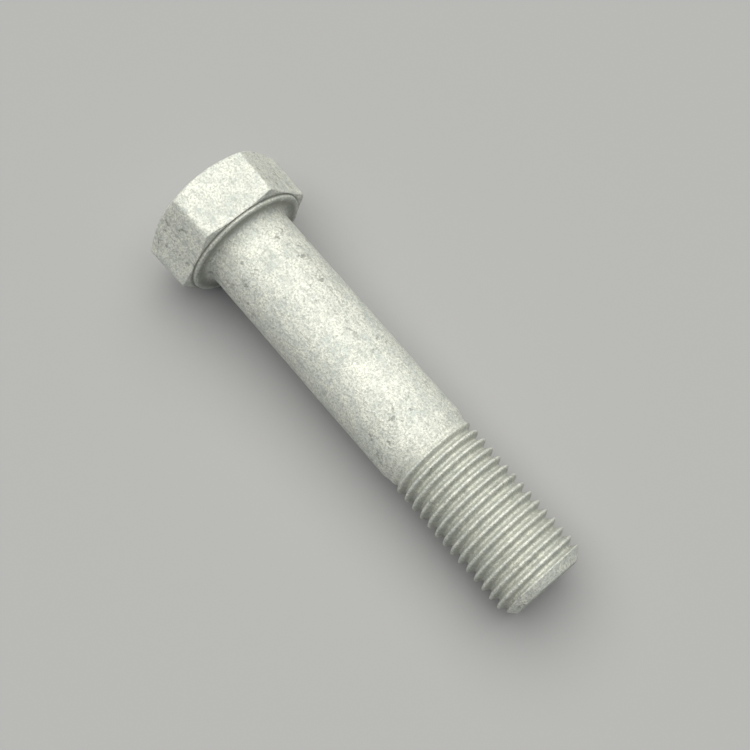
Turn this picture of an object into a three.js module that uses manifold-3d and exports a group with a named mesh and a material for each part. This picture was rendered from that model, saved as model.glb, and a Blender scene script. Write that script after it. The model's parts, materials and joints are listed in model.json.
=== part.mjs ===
// Hex bolt, M22 x 2.5 x 100, hot-dip galvanised.
//
// Millimetres. +X runs along the bolt from the head to the point, +Z is square to one pair of
// wrench flats, and the origin is the centre of the flat top of the head. The bolt is one forging,
// so the model is one closed body: chamfered hexagon, washer face, filleted shank and rolled thread.

import * as THREE from "three";
import { mergeVertices } from "three/addons/utils/BufferGeometryUtils.js";
import Module from "manifold-3d";

// Head
const acrossFlats = 31.0;
const cornerRadius = 1.2;
const headHeight = 14.3;
const washerFaceHeight = 0.8;
const washerFaceDiameter = 29.7;
const washerRimRadius = 0.25;
const headChamferDegrees = 30;
const headTopDiameter = 29.4;
const undersideChamferDegrees = 14;
const undersideDiameter = 31.4;

// Shank
const shankDiameter = 21.6;
const lengthUnderHead = 101.3;
const filletRadius = 1.2;
const fullShankLength = 60.1;
const rolledBlankDiameter = 20.6;
const blankTaperLength = 2.9;

// Thread, right-handed
const pitch = 2.5;
const threadAngleDegrees = 60;
const crestDiameter = 21.7;
const crestFlat = pitch / 8;
const rootFlat = pitch / 5;
const crestAtTop = 76.4;
const crestRiseLength = 2.4;
const rootFallLength = 3.7;
const pointDiameter = 16.9;
const pointChamferDegrees = 45;

// Facets
const turnedSides = 80;
const threadSides = 40;
const filletSteps = 5;
const cornerSteps = 3;
const mergeTolerance = 1e-5;
const underRoot = 0.05;
const clearOfCrest = 1;

// Worked out from the values above
const acrossCorners = acrossFlats / Math.cos(Math.PI / 6);
const hexagonEnd = headHeight - washerFaceHeight;
const bearingPlane = headHeight;
const pointPlane = headHeight + lengthUnderHead;
const threadStart = bearingPlane + fullShankLength + blankTaperLength;
const flankWidth = (pitch - crestFlat - rootFlat) / 2;
const threadDepth = flankWidth * Math.tan(radians(threadAngleDegrees));
const rootDiameter = crestDiameter - 2 * threadDepth;

const wasm = await Module();
wasm.setup();

function solidFrom(geometry) {
  const bare = geometry.index ? geometry.toNonIndexed() : geometry;
  bare.deleteAttribute("normal");
  bare.deleteAttribute("uv");
  const merged = mergeVertices(bare, mergeTolerance);
  const mesh = new wasm.Mesh({
    numProp: 3,
    vertProperties: new Float32Array(merged.attributes.position.array),
    triVerts: new Uint32Array(merged.index.array),
  });
  return new wasm.Manifold(mesh);
}

function geometryFrom(solid) {
  const mesh = solid.getMesh();
  const geometry = new THREE.BufferGeometry();
  geometry.setAttribute("position", new THREE.BufferAttribute(mesh.vertProperties, 3));
  geometry.setIndex(new THREE.BufferAttribute(mesh.triVerts, 1));
  geometry.computeVertexNormals();
  return geometry;
}

// A solid turned about the X axis from a list of [distance along X, radius].
function turned(profile, sides = turnedSides) {
  const points = profile.map(([along, radius]) => new THREE.Vector2(radius, along));
  const geometry = new THREE.LatheGeometry(points, sides);
  geometry.rotateZ(-Math.PI / 2);
  return solidFrom(geometry);
}

function radians(degrees) {
  return THREE.MathUtils.degToRad(degrees);
}

// Hexagon with rounded corners and a flat square to its own x axis.
function hexagonOutline() {
  const shape = new THREE.Shape();
  const arcCentre = acrossFlats / 2 / Math.cos(Math.PI / 6) - cornerRadius / Math.cos(Math.PI / 6);
  for (let corner = 0; corner < 6; corner += 1) {
    const angle = Math.PI / 6 + (corner * Math.PI) / 3;
    shape.absarc(
      arcCentre * Math.cos(angle),
      arcCentre * Math.sin(angle),
      cornerRadius,
      angle - Math.PI / 6,
      angle + Math.PI / 6,
      false,
    );
  }
  shape.closePath();
  return shape;
}

function hexagonPrism() {
  const geometry = new THREE.ExtrudeGeometry(hexagonOutline(), {
    depth: hexagonEnd,
    bevelEnabled: false,
    curveSegments: cornerSteps,
  });
  geometry.rotateY(Math.PI / 2);
  return solidFrom(geometry);
}

// The two cones that take the corners off the head, above and below, as a solid to keep.
function headChamferEnvelope() {
  const reach = acrossCorners / 2;
  const topCone = (reach - headTopDiameter / 2) * Math.tan(radians(headChamferDegrees));
  const underCone = (reach - undersideDiameter / 2) * Math.tan(radians(undersideChamferDegrees));
  return turned([
    [0, 0],
    [0, headTopDiameter / 2],
    [topCone, reach],
    [hexagonEnd - underCone, reach],
    [hexagonEnd, undersideDiameter / 2],
    [hexagonEnd, 0],
  ]);
}

function washerFace() {
  const radius = washerFaceDiameter / 2;
  const insideHead = hexagonEnd - washerFaceHeight;
  return turned([
    [insideHead, 0],
    [insideHead, radius],
    [bearingPlane - washerRimRadius, radius],
    [bearingPlane, radius - washerRimRadius],
    [bearingPlane, 0],
  ]);
}

// Fillet under the head, plain shank, the step down to the rolled blank, and a taper from the
// blank to just under the roots, where the thread's own rod carries on.
function shank() {
  const radius = shankDiameter / 2;
  const profile = [[hexagonEnd, 0]];
  profile.push([hexagonEnd, radius + filletRadius]);
  for (let step = 0; step <= filletSteps; step += 1) {
    const angle = (step / filletSteps) * (Math.PI / 2);
    profile.push([
      bearingPlane + filletRadius * (1 - Math.cos(angle)),
      radius + filletRadius * (1 - Math.sin(angle)),
    ]);
  }
  profile.push([bearingPlane + fullShankLength, radius]);
  profile.push([threadStart, rolledBlankDiameter / 2]);
  profile.push([threadStart + rootFallLength, rootDiameter / 2 - underRoot]);
  profile.push([threadStart + rootFallLength, 0]);
  return turned(profile);
}

// A rod covered by the thread. Its rows follow the helix, so each crest and root is a clean edge.
// Row i, column j lies at the angle of column j and slides back one pitch per turn; past the last
// column the surface carries on as the first column, one pitch of rows further on.
function threadedRod() {
  const profile = [
    [-crestFlat / 2, crestDiameter / 2],
    [crestFlat / 2, crestDiameter / 2],
    [crestFlat / 2 + flankWidth, rootDiameter / 2],
    [crestFlat / 2 + flankWidth + rootFlat, rootDiameter / 2],
  ];
  const rowsPerTurn = profile.length;
  const turnsBack = Math.ceil((crestAtTop - bearingPlane - fullShankLength) / pitch);
  const start = crestAtTop - turnsBack * pitch;
  const turns = Math.ceil((pointPlane - start) / pitch) + 2;
  const lastRow = turns * rowsPerTurn;
  const positions = [];
  const triangles = [];

  function vertex(x, radius, angle) {
    positions.push(x, radius * Math.sin(angle), radius * Math.cos(angle));
    return positions.length / 3 - 1;
  }

  const grid = [];
  for (let row = 0; row <= lastRow; row += 1) {
    const [offset, radius] = profile[row % rowsPerTurn];
    const turn = Math.floor(row / rowsPerTurn);
    const columns = [];
    for (let column = 0; column < threadSides; column += 1) {
      const angle = (2 * Math.PI * column) / threadSides;
      const x = start + offset + pitch * (turn - column / threadSides);
      columns.push(vertex(x, radius, angle));
    }
    grid.push(columns);
  }
  // The part of the seam that has no first column beside it: one pitch at the start.
  const seam = [];
  for (let row = 0; row < rowsPerTurn; row += 1) {
    const [offset, radius] = profile[row];
    seam.push(vertex(start + offset - pitch, radius, 0));
  }

  function at(row, column) {
    if (column < threadSides) {
      return grid[row][column];
    }
    return row < rowsPerTurn ? seam[row] : grid[row - rowsPerTurn][0];
  }

  for (let row = 0; row < lastRow; row += 1) {
    for (let column = 0; column < threadSides; column += 1) {
      const a = at(row, column);
      const b = at(row, column + 1);
      const c = at(row + 1, column + 1);
      const d = at(row + 1, column);
      triangles.push(a, c, b, a, d, c);
    }
  }

  // Close each end with a fan to a point on the axis.
  const startRim = [];
  for (let column = 0; column <= threadSides; column += 1) {
    startRim.push(at(0, column));
  }
  for (let row = 1; row < rowsPerTurn; row += 1) {
    startRim.push(seam[row]);
  }
  const endRim = [];
  for (let column = 0; column <= threadSides; column += 1) {
    endRim.push(at(lastRow, column));
  }
  for (let row = lastRow - rowsPerTurn + 1; row < lastRow; row += 1) {
    endRim.push(grid[row][0]);
  }
  const startHub = vertex(start - pitch / 2, 0, 0);
  const endHub = vertex(start + (turns - 0.5) * pitch, 0, 0);
  startRim.forEach((index, place) => {
    triangles.push(startHub, index, startRim[(place + 1) % startRim.length]);
  });
  endRim.forEach((index, place) => {
    triangles.push(endHub, endRim[(place + 1) % endRim.length], index);
  });

  const geometry = new THREE.BufferGeometry();
  geometry.setAttribute("position", new THREE.Float32BufferAttribute(positions, 3));
  geometry.setIndex(triangles);
  return solidFrom(geometry);
}

// The length of rod that is kept: the crests rise out of the blank at one end, and the point is
// chamfered at the other.
function threadEnvelope() {
  const reach = crestDiameter / 2 + clearOfCrest;
  const blankRadius = rolledBlankDiameter / 2;
  const riseLength = (crestRiseLength * (reach - blankRadius)) / (crestDiameter / 2 - blankRadius);
  const pointLength = (reach - pointDiameter / 2) / Math.tan(radians(pointChamferDegrees));
  return turned([
    [threadStart, 0],
    [threadStart, blankRadius],
    [threadStart + riseLength, reach],
    [pointPlane - pointLength, reach],
    [pointPlane, pointDiameter / 2],
    [pointPlane, 0],
  ]);
}

function boltSolid() {
  const head = hexagonPrism().intersect(headChamferEnvelope());
  const thread = threadedRod().intersect(threadEnvelope());
  return head.add(washerFace()).add(shank()).add(thread);
}

const galvanisedSteel = new THREE.MeshStandardMaterial({
  color: 0xb4b8b2,
  roughness: 0.55,
  metalness: 0.75,
});

const bolt = new THREE.Mesh(geometryFrom(boltSolid()), galvanisedSteel);
bolt.name = "hex_bolt";

const group = new THREE.Group();
group.add(bolt);

export default group;
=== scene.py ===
import json
import math

import bpy
from mathutils import Matrix, Vector, noise


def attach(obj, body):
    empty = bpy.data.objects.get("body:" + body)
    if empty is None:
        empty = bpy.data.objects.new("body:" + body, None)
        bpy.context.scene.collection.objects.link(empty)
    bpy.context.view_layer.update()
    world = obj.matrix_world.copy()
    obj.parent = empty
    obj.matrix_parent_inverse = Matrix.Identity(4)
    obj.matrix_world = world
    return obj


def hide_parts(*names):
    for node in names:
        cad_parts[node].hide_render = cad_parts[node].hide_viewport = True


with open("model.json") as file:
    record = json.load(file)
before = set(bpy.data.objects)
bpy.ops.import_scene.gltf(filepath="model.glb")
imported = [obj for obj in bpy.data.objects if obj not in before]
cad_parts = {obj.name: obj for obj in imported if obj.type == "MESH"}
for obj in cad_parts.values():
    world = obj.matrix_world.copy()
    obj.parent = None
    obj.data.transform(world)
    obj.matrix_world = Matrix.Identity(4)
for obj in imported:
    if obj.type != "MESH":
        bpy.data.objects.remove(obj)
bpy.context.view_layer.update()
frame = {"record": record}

# The frame is in metres. +X runs from the head to the point and +Z is square to a wrench flat.
# The shape below is worked out in millimetres and scaled by MM when the mesh is made.
MM = 0.001
MOUNTS = {mount["name"]: mount for mount in frame["record"]["mounts"]}

# Lengths along the bolt, from the frame
BEARING_X = MOUNTS["bearing_face"]["pos_m"][0] / MM
POINT_X = MOUNTS["point_end"]["pos_m"][0] / MM
HALF_FLATS = MOUNTS["wrench_flat_up"]["pos_m"][2] / MM

# A sector is the angle of one wrench flat, and its middle is the middle of the flat.
SECTORS = 6
SECTOR_ANGLE = math.radians(60)
HALF_SECTOR = math.radians(30)

# Head
WASHER_FACE_HEIGHT = 0.8
WASHER_FACE_RADIUS = 14.85
HEX_END_X = BEARING_X - WASHER_FACE_HEIGHT
HEAD_TOP_RADIUS = 14.6
HEAD_CHAMFER = math.radians(29)
SHOULDER_X = 1.5
HEAD_DRAFT = math.radians(1.9)
CORNER_RADII_AT_TOP = (0.7, 1.1, 1.3, 0.9, 1.2, 1.5)
CORNER_RADII_AT_WASHER = (1.3, 1.7, 1.6, 1.5, 1.8, 2.2)
BEARING_RADIUS = WASHER_FACE_RADIUS - 0.5
UNDERCUT_RADIUS = WASHER_FACE_RADIUS + 0.12
UNDERSIDE_CHAMFER = math.radians(14)
UNDERSIDE_RADIUS = 15.7

# How far each soft edge of the head reaches from the sharp one, at most a share of the side
EDGE_SHARE = 0.45
TOP_EDGE = 0.7
SHOULDER_EDGE = 0.4
HEEL_EDGE = 0.45
UNDERCUT_EDGE = 0.12
RIM_EDGE = 0.4

# Shank and thread
SHANK_RADIUS = 10.8
FILLET = 0.9
FULL_SHANK_END_X = BEARING_X + 60.1
BLANK_RADIUS = 10.3
BLANK_TAPER = 2.9
THREAD_START_X = FULL_SHANK_END_X + 2.0
RUN_OUT_LENGTH = 4.1
PITCH = 2.5
CREST_RADIUS = 10.85
CREST_HALF_WIDTH = 0.20
CREST_ROUNDING = 0.06
THREAD_HALF_ANGLE = math.radians(30)
FLANK_SLOPE = 1 / math.tan(THREAD_HALF_ANGLE)
ROOT_RADIUS = 0.1443 * PITCH
THREAD_DEPTH = 0.6134 * PITCH
CREST_AT_TOP_X = 76.4
POINT_RADIUS = 8.45

# Painted shade in the hollows (undercut, bearing face, thread grooves), kept on the mesh for the
# material: 0 is open and 1 is fully darkened.
# The undercut's is over 1, so it stays full a little way off its line.
PAINTED_SHADE_ATTRIBUTE = "painted_shade"
THREAD_PAINTED_SHADE = 0.5
ROOT_PAINTED_SHADE = 0.4
BEARING_PAINTED_SHADE = 0.9
UNDERCUT_PAINTED_SHADE = 1.2

# Margins, and the lengths over which the painted shade fades
PAINTED_SHADE_MARGIN = 0.05
RIM_MARGIN = 0.3
FLANK_FADE = 0.30
ROOT_FADE = 0.25
RIM_FADE = 0.8
SHANK_FADE = 2.6
UNDERCUT_FADE = 0.4

# Mesh density. The rows of one thread turn are shares of the pitch, counted from the crest.
COLUMNS = 240
COLUMNS_PER_SECTOR = COLUMNS // SECTORS
THREAD_ROWS = (-0.06, 0.0, 0.06, 0.11, 0.20, 0.29, 0.38, 0.44, 0.50, 0.56, 0.62, 0.71, 0.80, 0.89)
ROWS_PER_TURN = len(THREAD_ROWS)
MERGE_MARGIN = 0.05
SHANK_ROWS = 62
FLAT_ROWS = 26
TOP_RINGS = 12
UNDERSIDE_SHARES = (0.33, 0.66)
BEARING_SHARES = (0.35, 0.7, 1.0)
FILLET_ROWS = 6
END_RING_SHARES = (0.95, 0.75, 0.5, 0.25)

# Unevenness of the dipped surface in millimetres: height, wavelength and where its noise starts
ZINC_WAVES = (
    (0.05, 9.0, Vector((0, 0, 0))),
    (0.040, 2.6, Vector((7.1, 0, 0))),
    (0.030, 0.9, Vector((0, 3.7, 0))),
)
BEAD_HEIGHT = 0.14
BEAD_SPACING = 1.5
BEAD_THRESHOLD = 0.40
BEAD_START = Vector((0, 0, 9.3))

# Zinc colours and gloss
ZINC_BRIGHT = (0.92, 0.92, 0.825)
ZINC_MID = (0.78, 0.79, 0.73)
ZINC_DULL = (0.44, 0.46, 0.42)
ZINC_COOL = (0.64, 0.68, 0.65)
# Painted shade: the colour that the undercut, the bearing face and the thread's grooves are darkened
# towards
ZINC_PAINTED_SHADE = (0.30, 0.31, 0.27)
ZINC_PIT = (0.16, 0.17, 0.15)
ZINC_METALLIC = 0.3
ROUGH_DULL = 0.68
ROUGH_BRIGHT = 0.46
PATCH_SHARE = 0.9
SMEAR_SHARE = 0.28
DRAG_SHARE = 0.80
SPECK_SHARE = 0.55
PIT_SHARE = 0.60
SMEAR_STRETCH = (0.35, 1.0, 1.0)
DRAG_STRETCH = (0.10, 1.0, 1.0)

# How the bolt is lit and looked at. Places and sizes are in metres, lens and sensor in millimetres.
FLOOR_SIZE = 30.0
FLOOR_COLOUR = (0.34, 0.34, 0.345, 1.0)
FLOOR_ROUGHNESS = 0.8
LIGHT_FROM = Vector((-0.26, 0.12, 0.98))
LIGHT_SPREAD = math.radians(83)
LIGHT_STRENGTH = 4.4
LIGHT_COLOUR = (1.0, 0.985, 0.92)
FILL_COLOUR = (0.66, 0.80, 1.0, 1.0)
FILL_STRENGTH = 0.11
BACKDROP_COLOUR = (0.50, 0.50, 0.49, 1.0)
CAMERA_PLACE = Vector((123.2, -62.2, 296.8)) * MM
CAMERA_TARGET = Vector((56.5, 2.2, 0.0)) * MM
CAMERA_ROLL = math.radians(4.08)
CAMERA_LENS = 67.75
CAMERA_SENSOR = 36.0
CAMERA_NEAR = 0.01
CAMERA_FAR = 10.0


def blend(a, b, share):
    return a + (b - a) * share


def smooth_step(value):
    value = min(1.0, max(0.0, value))
    return value * value * (3 - 2 * value)


# ---------------------------------------------------------------- head outline

def column_angle(column, crowding):
    """Angle of a column, from +Z towards +Y. With crowding 1 the columns gather at the corners."""
    sector = round(column / COLUMNS_PER_SECTOR)
    place = (column - sector * COLUMNS_PER_SECTOR) * 2 / COLUMNS_PER_SECTOR
    gathered = place * (1.5 - 0.5 * place * place)
    return SECTOR_ANGLE * sector + HALF_SECTOR * blend(place, gathered, crowding)


def hexagon_radius(angle, along):
    """Distance from the axis to the drafted, round-cornered hexagon."""
    half_flats = HALF_FLATS + (HEX_END_X / 2 - along) * math.tan(HEAD_DRAFT)
    sector = round(angle / SECTOR_ANGLE)
    off_flat = angle - sector * SECTOR_ANGLE
    corner = (sector if off_flat >= 0 else sector - 1) % SECTORS
    radius = blend(CORNER_RADII_AT_TOP[corner], CORNER_RADII_AT_WASHER[corner], along / HEX_END_X)
    tangent = math.atan((half_flats - radius) * math.tan(HALF_SECTOR) / half_flats)
    if abs(off_flat) <= tangent:
        return half_flats / math.cos(off_flat)
    centre = (half_flats - radius) / math.cos(HALF_SECTOR)
    off_corner = HALF_SECTOR - abs(off_flat)
    off_centre = centre * math.sin(off_corner)
    return centre * math.cos(off_corner) + math.sqrt(radius**2 - off_centre**2)


def underside_x(radius):
    """Where the hexagon's underside lies: flat near the washer face, and cut back at the corners."""
    return HEX_END_X - max(0.0, radius - UNDERSIDE_RADIUS) * math.tan(UNDERSIDE_CHAMFER)


def rounded_corner(before, corner, after, reach, steps):
    """Points of a soft edge, as a quadratic curve that starts and ends at most reach from it."""
    points = []
    start = corner + (before - corner).normalized() * min(reach, (before - corner).length * EDGE_SHARE)
    end = corner + (after - corner).normalized() * min(reach, (after - corner).length * EDGE_SHARE)
    for step in range(steps + 1):
        share = step / steps
        points.append(start.lerp(corner, share).lerp(corner.lerp(end, share), share))
    return points


def head_profile(column):
    """The head's outline in one column, from the top to the shank, as (along, radius, crowding)."""
    angle = column_angle(column, 1.0)
    outer = hexagon_radius(angle, SHOULDER_X)
    chamfer_end = (outer - HEAD_TOP_RADIUS) * math.tan(HEAD_CHAMFER)
    top = Vector((0, HEAD_TOP_RADIUS))
    shoulder = Vector((chamfer_end, outer))
    heel_radius = hexagon_radius(angle, HEX_END_X)
    heel = Vector((underside_x(heel_radius), heel_radius))
    undercut = Vector((HEX_END_X, UNDERCUT_RADIUS))
    rim = Vector((BEARING_X, WASHER_FACE_RADIUS))
    root = Vector((BEARING_X, SHANK_RADIUS))
    outline = []

    def add(points, crowding):
        outline.extend((point.x, point.y, crowding) for point in points)

    for ring in range(1, TOP_RINGS):
        add([Vector((0, HEAD_TOP_RADIUS * ring / TOP_RINGS))], 1.0)
    add(rounded_corner(Vector((0, 0)), top, shoulder, TOP_EDGE, 3), 1.0)
    add([top.lerp(shoulder, 0.5)], 1.0)
    add(rounded_corner(top, shoulder, heel, SHOULDER_EDGE, 3), 1.0)
    start = outline[-1][0]
    stop = heel.x - HEEL_EDGE
    for row in range(1, FLAT_ROWS):
        along = blend(start, stop, row / FLAT_ROWS)
        add([Vector((along, hexagon_radius(angle, along)))], 1.0)
    add(rounded_corner(Vector((stop, heel.y)), heel, undercut, HEEL_EDGE, 4), 1.0)
    for share in UNDERSIDE_SHARES:
        radius = blend(heel.y, UNDERCUT_RADIUS, share)
        add([Vector((underside_x(radius), radius))], 1.0 - share)
    add(rounded_corner(heel, undercut, rim, UNDERCUT_EDGE, 2), 0.0)
    add(rounded_corner(undercut, rim, root, RIM_EDGE, 5), 0.0)
    for share in BEARING_SHARES:
        add([Vector((BEARING_X, blend(BEARING_RADIUS, SHANK_RADIUS + FILLET, share)))], 0.0)
    for step in range(1, FILLET_ROWS + 1):
        turn = step / FILLET_ROWS * math.pi / 2
        along = BEARING_X + FILLET * (1 - math.cos(turn))
        add([Vector((along, SHANK_RADIUS + FILLET * (1 - math.sin(turn))))], 0.0)
    return outline


# ---------------------------------------------------------------- thread

def full_thread_radius(off_crest):
    """Standard thread: flat crest, straight flanks and a round root. off_crest is along the bolt."""
    flank = CREST_RADIUS - (off_crest - CREST_HALF_WIDTH) * FLANK_SLOPE
    gap = CREST_RADIUS - flank
    crest = CREST_RADIUS - (gap + math.hypot(gap, CREST_ROUNDING)) / 2
    off_root = PITCH / 2 - off_crest
    if off_root >= ROOT_RADIUS * math.cos(THREAD_HALF_ANGLE):
        return crest
    return CREST_RADIUS - THREAD_DEPTH + ROOT_RADIUS - math.sqrt(ROOT_RADIUS**2 - off_root**2)


def thread_radius(along, angle):
    """Radius past the plain shank: a step down to the rolled blank, the run-out and the point."""
    phase = (along - CREST_AT_TOP_X) / PITCH + angle / (2 * math.pi)
    thread = full_thread_radius(abs(phase - round(phase)) * PITCH)
    blank = blend(SHANK_RADIUS, BLANK_RADIUS, smooth_step((along - FULL_SHANK_END_X) / BLANK_TAPER))
    formed = smooth_step((along - THREAD_START_X) / RUN_OUT_LENGTH)
    chamfer = POINT_RADIUS + (POINT_X - along)
    return min(blend(blank, thread, formed), chamfer)


def painted_shade_at(along, radius):
    """How much painted shade a point gets: the undercut and the bearing face most, the thread's flanks
    less.
    """
    if along > THREAD_START_X:
        outer = min(CREST_RADIUS, POINT_RADIUS + (POINT_X - along))
        formed = smooth_step((along - THREAD_START_X) / RUN_OUT_LENGTH)
        flank = smooth_step((outer - radius - PAINTED_SHADE_MARGIN) / FLANK_FADE)
        above_root = smooth_step((radius - (CREST_RADIUS - THREAD_DEPTH)) / ROOT_FADE)
        return THREAD_PAINTED_SHADE * formed * flank * blend(ROOT_PAINTED_SHADE, 1.0, above_root)
    if along > BEARING_X - PAINTED_SHADE_MARGIN:
        inside_rim = smooth_step((WASHER_FACE_RADIUS - RIM_MARGIN - radius) / RIM_FADE)
        off_shank = smooth_step((radius - SHANK_RADIUS) / SHANK_FADE)
        return BEARING_PAINTED_SHADE * inside_rim * off_shank
    off_undercut = math.hypot(along - HEX_END_X, radius - UNDERCUT_RADIUS)
    return smooth_step(UNDERCUT_PAINTED_SHADE - off_undercut / UNDERCUT_FADE)


def build_bolt_mesh():
    """One closed surface: rings over the head and shank, then rows that follow the thread's helix."""
    points = [Vector((0, 0, 0))]
    painted_shade_values = [0.0]
    faces = []

    def ring_point(along, radius, angle):
        points.append(Vector((along, radius * math.sin(angle), radius * math.cos(angle))))
        painted_shade_values.append(painted_shade_at(along, radius))
        return len(points) - 1

    def join(lower, upper):
        for here in range(COLUMNS):
            after = (here + 1) % COLUMNS
            faces.append((lower[here], upper[here], upper[after], lower[after]))

    profiles = [head_profile(column) for column in range(COLUMNS)]
    rings = []
    for row in range(len(profiles[0])):
        ring = []
        for column in range(COLUMNS):
            along, radius, crowding = profiles[column][row]
            ring.append(ring_point(along, radius, column_angle(column, crowding)))
        rings.append(ring)
    shank_start = BEARING_X + FILLET
    for row in range(1, SHANK_ROWS + 1):
        along = blend(shank_start, FULL_SHANK_END_X, row / SHANK_ROWS)
        rings.append([ring_point(along, SHANK_RADIUS, column_angle(c, 0.0)) for c in range(COLUMNS)])
    for here in range(COLUMNS):
        faces.append((0, rings[0][here], rings[0][(here + 1) % COLUMNS]))
    for lower, upper in zip(rings, rings[1:]):
        join(lower, upper)

    # Rows of the thread start on the last ring of the shank and stop on the rim of the point.
    last_ring = rings[-1]
    point_ring = [ring_point(POINT_X, POINT_RADIUS, column_angle(c, 0.0)) for c in range(COLUMNS)]
    base_turn = math.floor((FULL_SHANK_END_X - CREST_AT_TOP_X) / PITCH)
    turns = math.ceil((POINT_X - CREST_AT_TOP_X) / PITCH) - base_turn + 3
    made = {}

    def thread_point(row, column):
        if column == COLUMNS:
            return thread_point(row - ROWS_PER_TURN, 0)
        if (row, column) not in made:
            turn, step = divmod(row, ROWS_PER_TURN)
            offset = base_turn + turn + THREAD_ROWS[step] - column / COLUMNS
            along = CREST_AT_TOP_X + PITCH * offset
            if along < FULL_SHANK_END_X + MERGE_MARGIN:
                made[row, column] = last_ring[column]
            elif along > POINT_X - MERGE_MARGIN:
                made[row, column] = point_ring[column]
            else:
                angle = column_angle(column, 0.0)
                made[row, column] = ring_point(along, thread_radius(along, angle), angle)
        return made[row, column]

    for row in range(turns * ROWS_PER_TURN):
        for column in range(COLUMNS):
            corners = [
                thread_point(row, column),
                thread_point(row + 1, column),
                thread_point(row + 1, column + 1),
                thread_point(row, column + 1),
            ]
            distinct = tuple(dict.fromkeys(corners))
            if len(distinct) > 2:
                faces.append(distinct)

    end_rings = [point_ring]
    for share in END_RING_SHARES:
        radius = POINT_RADIUS * share
        end_rings.append([ring_point(POINT_X, radius, column_angle(c, 0.0)) for c in range(COLUMNS)])
    for lower, upper in zip(end_rings, end_rings[1:]):
        join(lower, upper)
    hub = ring_point(POINT_X, 0, 0)
    for here in range(COLUMNS):
        faces.append((hub, end_rings[-1][(here + 1) % COLUMNS], end_rings[-1][here]))

    mesh = bpy.data.meshes.new("hex_bolt_surface")
    mesh.from_pydata(points, [], faces)
    # Each point's share of painted shade, read by the material
    mesh.attributes.new(PAINTED_SHADE_ATTRIBUTE, "FLOAT", "POINT").data.foreach_set("value", painted_shade_values)
    mesh.update()
    return mesh


# ---------------------------------------------------------------- zinc surface

def zinc_height(place):
    """How far the dipped surface stands off the clean shape, in millimetres."""
    waves = sum(height * noise.noise(place / length + start) for height, length, start in ZINC_WAVES)
    bead = max(0.0, noise.noise(place / BEAD_SPACING + BEAD_START) - BEAD_THRESHOLD)
    return waves + BEAD_HEIGHT * bead


def add_zinc_unevenness(mesh):
    moves = [vertex.normal * zinc_height(vertex.co) for vertex in mesh.vertices]
    for vertex, move in zip(mesh.vertices, moves):
        vertex.co += move
    mesh.update()


def make_bolt():
    mesh = build_bolt_mesh()
    add_zinc_unevenness(mesh)
    mesh.transform(Matrix.Scale(MM, 4))
    mesh.shade_smooth()
    bolt = bpy.data.objects.new("bolt_surface", mesh)
    bpy.context.scene.collection.objects.link(bolt)
    mesh.materials.append(galvanised_steel())
    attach(bolt, "root")
    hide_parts("hex_bolt")


# ---------------------------------------------------------------- materials

class Nodes:
    """Short names for making and joining shader nodes."""

    def __init__(self, name):
        self.material = bpy.data.materials.new(name)
        self.material.use_nodes = True
        self.tree = self.material.node_tree
        self.shader = self.tree.nodes["Principled BSDF"]

    def make(self, kind, **values):
        node = self.tree.nodes.new(kind)
        for key, value in values.items():
            setattr(node, key, value)
        return node

    def join(self, source, target):
        self.tree.links.new(source, target)

    def noise(self, place, scale, detail, roughness=0.5):
        node = self.make("ShaderNodeTexNoise")
        node.inputs["Scale"].default_value = scale
        node.inputs["Detail"].default_value = detail
        node.inputs["Roughness"].default_value = roughness
        self.join(place, node.inputs["Vector"])
        return node.outputs["Fac"]

    def stretched(self, place, scale):
        node = self.make("ShaderNodeMapping")
        node.inputs["Scale"].default_value = scale
        self.join(place, node.inputs["Vector"])
        return node.outputs["Vector"]

    def remap(self, value, low, high, to_low=0.0, to_high=1.0):
        node = self.make("ShaderNodeMapRange", clamp=True)
        node.inputs["From Min"].default_value = low
        node.inputs["From Max"].default_value = high
        node.inputs["To Min"].default_value = to_low
        node.inputs["To Max"].default_value = to_high
        self.join(value, node.inputs["Value"])
        return node.outputs["Result"]

    def mix(self, share, first, second):
        node = self.make("ShaderNodeMix", data_type="RGBA")
        self.join(share, node.inputs["Factor"])
        for socket, value in ((node.inputs[6], first), (node.inputs[7], second)):
            if isinstance(value, tuple):
                socket.default_value = (*value, 1.0)
            else:
                self.join(value, socket)
        return node.outputs[2]

    def math(self, operation, first, second):
        node = self.make("ShaderNodeMath", operation=operation)
        for socket, value in zip(node.inputs, (first, second)):
            if isinstance(value, (int, float)):
                socket.default_value = value
            else:
                self.join(value, socket)
        return node.outputs[0]

    def bump(self, height, strength, distance, under=None):
        node = self.make("ShaderNodeBump")
        node.inputs["Strength"].default_value = strength
        node.inputs["Distance"].default_value = distance
        self.join(height, node.inputs["Height"])
        if under is not None:
            self.join(under, node.inputs["Normal"])
        return node.outputs["Normal"]


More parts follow.
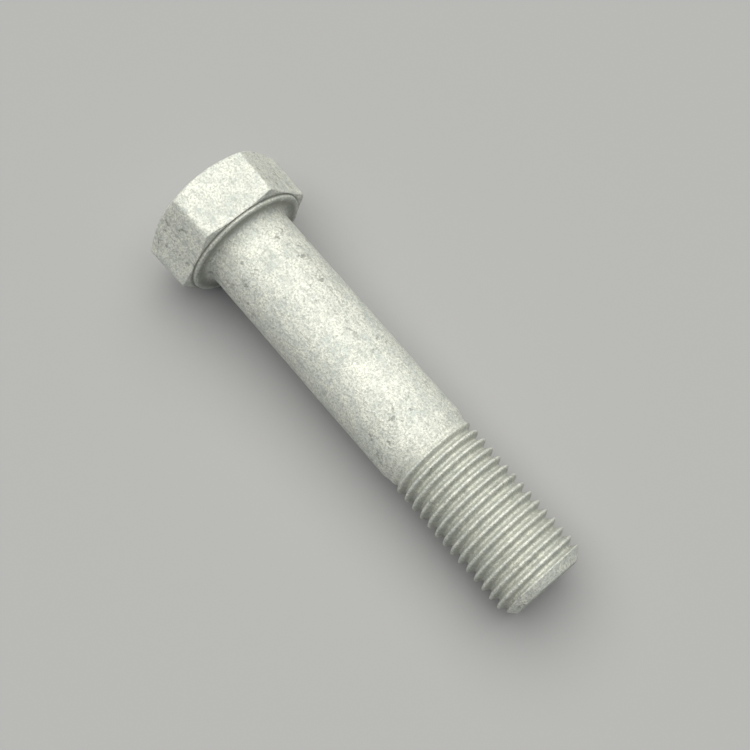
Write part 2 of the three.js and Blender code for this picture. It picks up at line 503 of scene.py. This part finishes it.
def galvanised_steel():
    """Matt hot-dip zinc: cloudy patches, frosty grain, drag marks along the bolt, small dark pits and
    painted shade in the hollows.
    """
    nodes = Nodes("galvanised_steel")
    place = nodes.make("ShaderNodeTexCoord").outputs["Object"]
    clouds = nodes.noise(place, 110, 4, 0.60)
    patches = nodes.noise(place, 430, 4, 0.65)
    grain = nodes.noise(place, 2000, 3, 0.90)
    specks = nodes.remap(nodes.noise(place, 1400, 2, 0.60), 0.62, 0.70)
    smears = nodes.remap(nodes.noise(nodes.stretched(place, SMEAR_STRETCH), 260, 4, 0.60), 0.54, 0.66)
    along = nodes.stretched(place, DRAG_STRETCH)
    drag_marks = nodes.remap(nodes.noise(along, 1300, 3, 0.60), 0.32, 0.41, 1.0, 0.0)
    drag_areas = nodes.remap(nodes.noise(place, 70, 2, 0.50), 0.45, 0.57)
    drag_mask = nodes.math("MULTIPLY", drag_marks, drag_areas)
    pits = nodes.remap(nodes.noise(place, 560, 3, 0.62), 0.34, 0.42, 1.0, 0.0)
    pit_areas = nodes.remap(nodes.noise(place, 95, 2, 0.50), 0.46, 0.60)
    pit_mask = nodes.math("MULTIPLY", pits, pit_areas)

    colour = nodes.mix(nodes.remap(clouds, 0.40, 0.60), ZINC_COOL, ZINC_MID)
    colour = nodes.mix(nodes.remap(patches, 0.36, 0.62, 0.0, PATCH_SHARE), colour, ZINC_BRIGHT)
    colour = nodes.mix(nodes.remap(grain, 0.42, 0.62), colour, ZINC_DULL)
    colour = nodes.mix(nodes.math("MULTIPLY", smears, SMEAR_SHARE), colour, ZINC_DULL)
    colour = nodes.mix(nodes.math("MULTIPLY", drag_mask, DRAG_SHARE), colour, ZINC_DULL)
    # Painted shade: the mesh's share darkens the base colour in the undercut, on the bearing face and in
    # the thread's grooves
    painted_shade_factor = nodes.make("ShaderNodeAttribute", attribute_name=PAINTED_SHADE_ATTRIBUTE).outputs["Fac"]
    colour = nodes.mix(painted_shade_factor, colour, ZINC_PAINTED_SHADE)
    colour = nodes.mix(nodes.math("MULTIPLY", specks, SPECK_SHARE), colour, ZINC_BRIGHT)
    colour = nodes.mix(nodes.math("MULTIPLY", pit_mask, PIT_SHARE), colour, ZINC_PIT)
    nodes.join(colour, nodes.shader.inputs["Base Color"])
    nodes.shader.inputs["Metallic"].default_value = ZINC_METALLIC
    unevenness = nodes.math("ADD", clouds, nodes.math("MULTIPLY", grain, 0.5))
    roughness = nodes.remap(unevenness, 0.55, 1.0, ROUGH_DULL, ROUGH_BRIGHT)
    nodes.join(roughness, nodes.shader.inputs["Roughness"])

    normal = nodes.bump(patches, 0.5, 0.0003)
    normal = nodes.bump(grain, 1.0, 0.00022, normal)
    normal = nodes.bump(nodes.math("SUBTRACT", 1.0, pit_mask), 0.5, 0.0001, normal)
    normal = nodes.bump(nodes.math("SUBTRACT", 1.0, drag_mask), 0.3, 0.00006, normal)
    nodes.join(normal, nodes.shader.inputs["Normal"])
    return nodes.material


def floor_material():
    nodes = Nodes("pale_floor")
    nodes.shader.inputs["Base Color"].default_value = FLOOR_COLOUR
    nodes.shader.inputs["Roughness"].default_value = FLOOR_ROUGHNESS
    nodes.shader.inputs["Specular IOR Level"].default_value = 0.0
    return nodes.material


# ---------------------------------------------------------------- stage, light and camera

def floor_tilt():
    """The bolt lies on the washer-side edge of its lower flat and on the thread near the point."""
    heel = Vector((HEX_END_X, -hexagon_radius(math.pi, HEX_END_X)))
    toe = Vector((POINT_X - (CREST_RADIUS - POINT_RADIUS), -CREST_RADIUS))
    return heel * MM, math.atan2(toe.y - heel.y, toe.x - heel.x)


def make_floor():
    heel, tilt = floor_tilt()
    half = FLOOR_SIZE / 2
    mesh = bpy.data.meshes.new("floor")
    corners = [(-half, -half, 0), (half, -half, 0), (half, half, 0), (-half, half, 0)]
    mesh.from_pydata(corners, [], [(0, 1, 2, 3)])
    mesh.materials.append(floor_material())
    floor = bpy.data.objects.new("floor", mesh)
    bpy.context.scene.collection.objects.link(floor)
    floor.rotation_euler = (0, -tilt, 0)
    floor.location = (heel.x, 0, heel.y)


def aim(thing, place, target, roll=0.0):
    thing.location = place
    turn = (target - place).to_track_quat("-Z", "Y").to_matrix()
    thing.rotation_euler = (turn @ Matrix.Rotation(roll, 3, "Z")).to_euler()


def make_world():
    """A dim cool sky that fills the shadows. The camera sees a plain pale backdrop instead."""
    world = bpy.data.worlds.new("studio")
    world.use_nodes = True
    tree = world.node_tree
    fill = tree.nodes["Background"]
    fill.inputs["Color"].default_value = FILL_COLOUR
    fill.inputs["Strength"].default_value = FILL_STRENGTH
    backdrop = tree.nodes.new("ShaderNodeBackground")
    backdrop.inputs["Color"].default_value = BACKDROP_COLOUR
    ray = tree.nodes.new("ShaderNodeLightPath")
    choice = tree.nodes.new("ShaderNodeMixShader")
    tree.links.new(ray.outputs["Is Camera Ray"], choice.inputs["Fac"])
    tree.links.new(fill.outputs["Background"], choice.inputs[1])
    tree.links.new(backdrop.outputs["Background"], choice.inputs[2])
    tree.links.new(choice.outputs["Shader"], tree.nodes["World Output"].inputs["Surface"])
    bpy.context.scene.world = world


def make_light():
    """One very broad and even light overhead, leaning a little to the head's side."""
    data = bpy.data.lights.new("overhead_light", "SUN")
    data.angle = LIGHT_SPREAD
    data.energy = LIGHT_STRENGTH
    data.color = LIGHT_COLOUR
    lamp = bpy.data.objects.new("overhead_light", data)
    bpy.context.scene.collection.objects.link(lamp)
    aim(lamp, LIGHT_FROM, Vector((0, 0, 0)))


def make_camera():
    data = bpy.data.cameras.new("camera")
    data.sensor_width = CAMERA_SENSOR
    data.lens = CAMERA_LENS
    data.clip_start = CAMERA_NEAR
    data.clip_end = CAMERA_FAR
    camera = bpy.data.objects.new("camera", data)
    bpy.context.scene.collection.objects.link(camera)
    aim(camera, CAMERA_PLACE, CAMERA_TARGET, CAMERA_ROLL)
    bpy.context.scene.camera = camera


bpy.context.scene.view_settings.view_transform = "Standard"
make_bolt()
make_floor()
make_world()
make_light()
make_camera()
